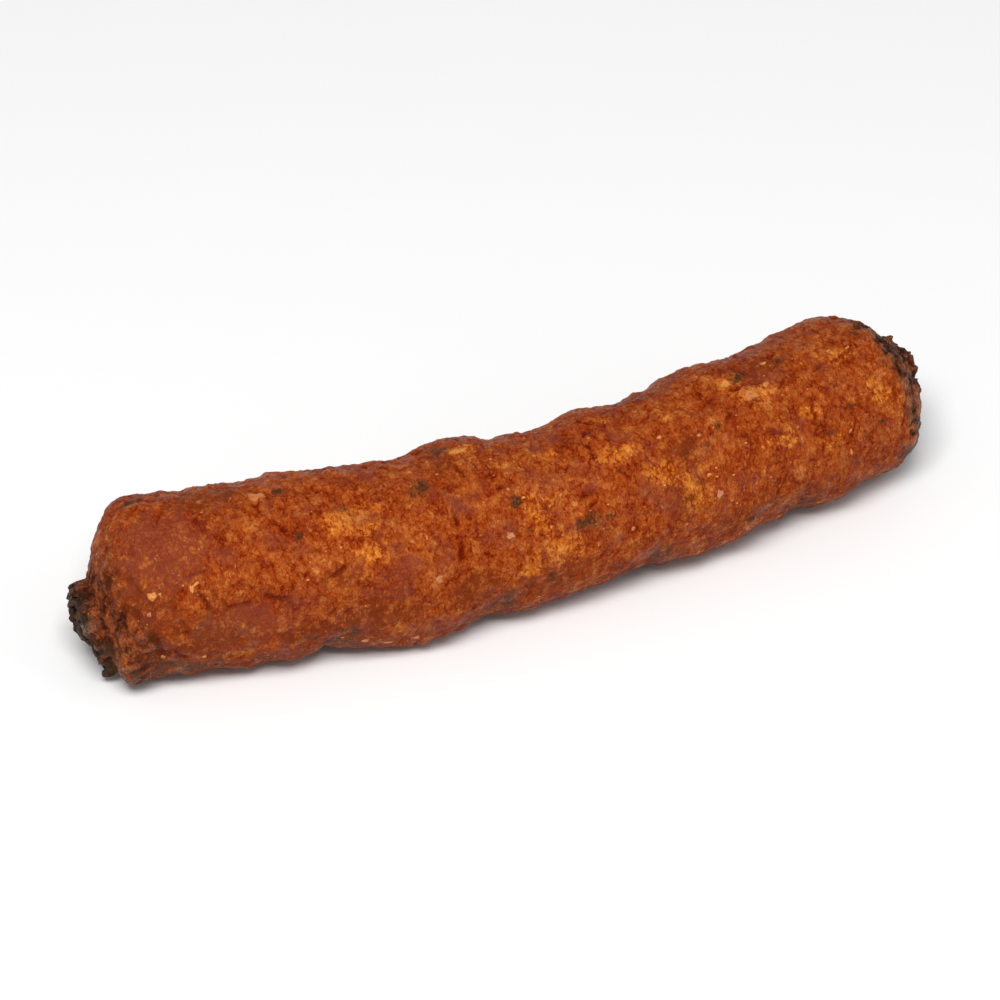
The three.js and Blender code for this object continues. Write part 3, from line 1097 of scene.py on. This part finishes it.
CRUMB_COUNT = 55
CRUMB_RADII = (0.6, 1.6)
CRUMB_FINENESS = 3
CRUMB_FACETS = 13
CRUMB_CUTS = (0.5, 0.8)  # how far from its middle a facet lies, as a share of the radius
CRUMB_STRETCH = (0.7, 1.15)
CRUMB_ROUGH = 0.14
CRUMB_ROUGH_SIZE = 0.4
CRUMB_HEIGHT = 0.75
CRUMB_SUNK = (-0.5, -0.1)
CRUMBS_APART = 10.0  # keeps the unevenness of one crumb unlike the next one's
BARE_ENOUGH = 0.6
LEAST_FACING = 0.05  # a facet turned away from a point doesn't cut it
LEAST_WEIGHT = 0.01  # the tip itself can be chosen too


def unit_ball(subdivisions):
    ball = bmesh.new()
    bmesh.ops.create_icosphere(ball, subdivisions=subdivisions, radius=1)
    points = np.array([v.co for v in ball.verts])
    faces = np.array([[v.index for v in f.verts] for f in ball.faces])
    ball.free()
    return points, faces


def angular_lump(ball, rng):
    """A ball cut by flat facets, with softened edges."""
    facets = rng.normal(size=(CRUMB_FACETS, 3))
    facets /= np.linalg.norm(facets, axis=1)[:, None]
    facing = np.maximum(ball @ facets.T, LEAST_FACING)
    cut = rng.uniform(*CRUMB_CUTS, CRUMB_FACETS) / facing
    return ball * np.minimum(1.0, cut).min(axis=1)[:, None]


def make_crumbs(name, end, seed):
    """Lumps more than half sunk in the torn plug of an end, in one mesh."""
    rng = np.random.default_rng(seed)
    ball, ball_faces = unit_ball(CRUMB_FINENESS)
    spots = np.flatnonzero((crust.bare > BARE_ENOUGH) & (crust.along * end["side"] > 0))
    # The points crowd towards the tip, so that a point of a wider ring is chosen more often.
    weight = ring(crust.along[spots])[0] + LEAST_WEIGHT
    chosen = rng.choice(spots, CRUMB_COUNT, p=weight / weight.sum())
    points, faces, shade, burnt_and_shaded = [], [], [], []
    for n, spot in enumerate(chosen):
        radius = CRUMB_RADII[0] + (CRUMB_RADII[1] - CRUMB_RADII[0]) * rng.random() ** 2
        turn = np.linalg.qr(rng.normal(size=(3, 3)))[0]
        lump = (angular_lump(ball, rng) * rng.uniform(*CRUMB_STRETCH, 3)) @ turn
        rough = CRUMB_ROUGH * unevenness(lump + CRUMBS_APART * n, CRUMB_ROUGH_SIZE, seed)
        lump += rough[:, None] * lump
        normal = crust.normal[spot]
        lump -= (1 - CRUMB_HEIGHT) * (lump @ normal)[:, None] * normal
        middle = crust.points[spot] + normal * radius * rng.uniform(*CRUMB_SUNK)
        points.append(middle + radius * lump)
        faces.append(ball_faces + n * len(ball))
        shade.append(np.full(len(ball), rng.random()))
        # A crumb takes the char and the painted shade of the spot that it sits on.
        burnt_and_shaded.append(np.full(len(ball), crust.burnt_and_shaded[spot]))
    points = np.concatenate(points)
    points[:, 2] = np.maximum(points[:, 2], FLAT_DEPTH - RADIUS)
    attributes = {"shade": np.concatenate(shade), "burnt_and_shaded": np.concatenate(burnt_and_shaded)}
    faces = np.concatenate(faces).tolist()
    piece = new_mesh(name, points, faces, attributes, crumb_material)


crumb_material = burnt_crumb()
make_crumbs("crumbs_left", LEFT_END, CRUMB_SEEDS[0])
make_crumbs("crumbs_right", RIGHT_END, CRUMB_SEEDS[1])

# ---------------- pale chips of onion and fat

# along, around, length, width, turn in degrees, tone from yellow (0) to pink (1)
CHIPS = (
    (-68.3, 33, 1.9, 1.7, 20, 0.1),
    (-66.9, 34, 0.7, 0.6, 0, 0.8),
    (-61.4, 35, 0.9, 1.6, 0, 0.1),
    (-60.6, 38, 1.6, 0.6, 35, 0.1),
    (-69, 21, 0.9, 1.0, 0, 0.6),
    (-67, -15, 1.0, 0.9, 0, 0.2),
    (-47.5, 95, 3.6, 2.4, 10, 0.5),
    (-19, 15, 1.5, 1.7, 0, 0.7),
    (-5.3, 32, 1.7, 1.4, 0, 0.9),
    (-3.5, 62, 0.6, 0.8, 30, 0.2),
    (-1.3, 54, 0.9, 0.6, 0, 0.2),
    (-20, 43, 0.5, 1.0, 0, 0.5),
    (14.5, 83, 0.8, 0.5, 0, 0.5),
    (17, 13, 1.0, 0.9, 20, 0.0),
    (26.5, 67, 1.0, 0.9, 0, 0.3),
    (27, 38, 0.8, 0.6, 30, 0.3),
    (32.7, 32, 1.0, 0.8, 20, 0.2),
    (34, 17, 1.7, 1.5, 60, 1.0),
    (36, 10, 0.8, 0.5, 0, 0.7),
    (33.5, 59, 0.9, 0.7, 0, 0.6),
    (37.5, 65, 0.7, 0.6, 0, 0.5),
    (61.5, 24, 1.1, 0.6, 20, 0.2),
    (61, 9, 0.5, 1.4, 0, 0.2),
    (65, 80, 1.3, 0.6, 10, 0.1),
    (68.5, 76, 1.2, 0.5, 10, 0.1),
    (53, 94, 1.7, 0.9, 0, 0.1),
    (43.5, 88, 2.7, 1.8, 20, 0.0),
    (46.5, 73, 3.2, 2.6, 0, 0.4),
    (50.3, 76, 1.7, 1.1, 30, 0.1),
    (-8.5, 102, 3.0, 1.4, 10, 0.0),
    (79, -20, 1.6, 0.7, 60, 0.3),
    (-32, -28, 1.6, 1.1, 10, 0.6),
    (-28, -33, 2.0, 0.8, 0, 0.7),
    (-23, -30, 1.2, 0.9, 0, 0.8),
    (-36, -22, 0.8, 0.6, 0, 0.5),
    (-60, -18, 1.0, 0.8, 0, 0.2),
)
HIDDEN_CHIPS = 45
HIDDEN_CHIPS_ALONG = (-66, 70)
HIDDEN_CHIPS_AROUND = (125, 290)
HIDDEN_CHIP_SMALLEST = 0.6
HIDDEN_CHIP_RANGE = 2.4
CHIP_LIFT = 0.12
CHIP_DROP = 0.2
CHIP_ROOT = -0.3
CHIP_RINGS = 6
CHIP_SIDES = 24
CHIP_SQUARENESS = 3
CHIP_WAVES = ((3, 0.16), (5, 0.10))  # in the outline: how many, and how high
CHIP_RIM = 0.5


def hidden_chips(rng):
    """Chips like those of the front, on the sides that the front view doesn't show."""
    for _ in range(HIDDEN_CHIPS):
        size = HIDDEN_CHIP_SMALLEST + HIDDEN_CHIP_RANGE * rng.random() ** 3
        along, around = rng.uniform(*HIDDEN_CHIPS_ALONG), rng.uniform(*HIDDEN_CHIPS_AROUND)
        width = size * rng.uniform(*HIDDEN_WIDTHS)
        yield along, around, size, width, rng.uniform(0, 180), rng.random()


def chip_outline(around, starts):
    """How far out a chip's edge is: a rounded square, made uneven by waves."""
    waves = zip(CHIP_WAVES, starts)
    uneven = 1 + sum(high * np.cos(many * around + start) for (many, high), start in waves)
    n = CHIP_SQUARENESS
    return uneven * (np.abs(np.cos(around)) ** n + np.abs(np.sin(around)) ** n) ** (-1 / n)


def chip_faces(start):
    """A chip's faces: rings round a top point, and a root that closes it below."""
    edge = (CHIP_RINGS - 1) * CHIP_SIDES
    top, root = CHIP_RINGS * CHIP_SIDES, CHIP_RINGS * CHIP_SIDES + 1
    for side in range(CHIP_SIDES):
        after = (side + 1) % CHIP_SIDES
        yield start + top, start + side, start + after
        for low in range(start, start + edge, CHIP_SIDES):
            high = low + CHIP_SIDES
            yield low + side, high + side, high + after, low + after
        yield start + root, start + edge + after, start + edge + side


def make_chips():
    rng = np.random.default_rng(CHIP_SEED)
    around_chip = np.arange(CHIP_SIDES) / CHIP_SIDES * 2 * math.pi
    reach = np.arange(1, CHIP_RINGS + 1) / CHIP_RINGS
    # A flat top that drops off towards the edge, then the top point and the root.
    lift = CHIP_LIFT * (1 - reach**4) - CHIP_DROP * reach**8
    lift = np.concatenate([np.repeat(lift, CHIP_SIDES), [CHIP_LIFT, CHIP_ROOT]])
    rim = np.concatenate([np.repeat(smooth(CHIP_RIM, 1, reach), CHIP_SIDES), [0, 1]])
    points, faces, tones, rims = [], [], [], []
    for along, around, length, width, turn, tone in CHIPS + tuple(hidden_chips(rng)):
        outline = chip_outline(around_chip, rng.uniform(0, 2 * math.pi, len(CHIP_WAVES)))
        x = np.outer(reach, outline * np.cos(around_chip) * length / 2).ravel()
        y = np.outer(reach, outline * np.sin(around_chip) * width / 2).ravel()
        x, y = np.concatenate([x, [0, 0]]), np.concatenate([y, [0, 0]])
        c, s = math.cos(math.radians(turn)), math.sin(math.radians(turn))
        chip_along = along + c * x - s * y
        chip_angle = math.radians(around) + (s * x + c * y) / RADIUS
        faces.extend(chip_faces(sum(map(len, points))))
        points.append(Crust(chip_along, chip_angle, lift).points)
        tones.append(np.full(len(x), tone))
        rims.append(rim)
    attributes = {"tone": np.concatenate(tones), "rim": np.concatenate(rims)}
    piece = new_mesh("chips", np.concatenate(points), faces, attributes, pale_chip())


make_chips()

# ---------------- floor, light and camera

VIEW_AZIMUTH = math.radians(-22.5)
VIEW_ELEVATION = math.radians(40)
VIEW_DISTANCE = 1200 * MM
PHOTO_PIXELS_PER_MM = 5.49
PHOTO_WIDTH = 1000
SENSOR_WIDTH = 36
AIM = (0, 5.02, 0.0)  # from the middle of the centreline
AIM_RISE = 0.49  # upwards in the picture
FLOOR_SIZE = 6  # metres
WORLD_STRENGTH = 0.35
# Name, azimuth and elevation in degrees, distance and size in metres, power in watts.
LIGHTS = (
    ("key", -30, 60, 1.3, (0.65, 0.45), 16.5),
    ("fill", 50, 35, 1.6, (1.0, 1.0), 2.5),
)


def direction(azimuth, elevation):
    """The way from the part to a camera or light. Azimuth 0 is in front, at -Y."""
    flat = math.cos(elevation)
    return Vector((math.sin(azimuth) * flat, -math.cos(azimuth) * flat, math.sin(elevation)))


def look_along(piece, back):
    piece.rotation_euler = back.to_track_quat("Z", "Y").to_euler()


def add_camera():
    data = bpy.data.cameras.new("camera")
    data.sensor_width = SENSOR_WIDTH
    data.lens = PHOTO_PIXELS_PER_MM / MM * VIEW_DISTANCE / PHOTO_WIDTH * SENSOR_WIDTH
    camera = bpy.data.objects.new("camera", data)
    bpy.context.scene.collection.objects.link(camera)
    back = direction(VIEW_AZIMUTH, VIEW_ELEVATION)
    look_along(camera, back)
    up = back.cross(Vector((math.cos(VIEW_AZIMUTH), math.sin(VIEW_AZIMUTH), 0)))
    target = (Vector(PLACE) + Vector(AIM)) * MM + up * AIM_RISE * MM
    camera.location = target + back * VIEW_DISTANCE
    bpy.context.scene.camera = camera


def add_light(name, azimuth, elevation, distance, size, power):
    data = bpy.data.lights.new(name, "AREA")
    data.shape = "RECTANGLE"
    data.size, data.size_y = size
    data.energy = power
    lamp = bpy.data.objects.new(name, data)
    bpy.context.scene.collection.objects.link(lamp)
    back = direction(math.radians(azimuth), math.radians(elevation))
    lamp.location = back * distance
    look_along(lamp, back)


def add_floor():
    bpy.ops.mesh.primitive_plane_add(size=FLOOR_SIZE, location=(0, 0, 0))
    floor = bpy.context.object
    floor.name = "floor"
    floor.data.materials.append(pale_floor())


def add_world():
    world = bpy.data.worlds.new("studio")
    bpy.context.scene.world = world
    world.use_nodes = True
    background = world.node_tree.nodes["Background"]
    background.inputs["Color"].default_value = (1, 1, 1, 1)
    background.inputs["Strength"].default_value = WORLD_STRENGTH


add_camera()
add_world()
add_floor()
for row in LIGHTS:
    add_light(*row)
bpy.context.scene.view_settings.view_transform = "Standard"
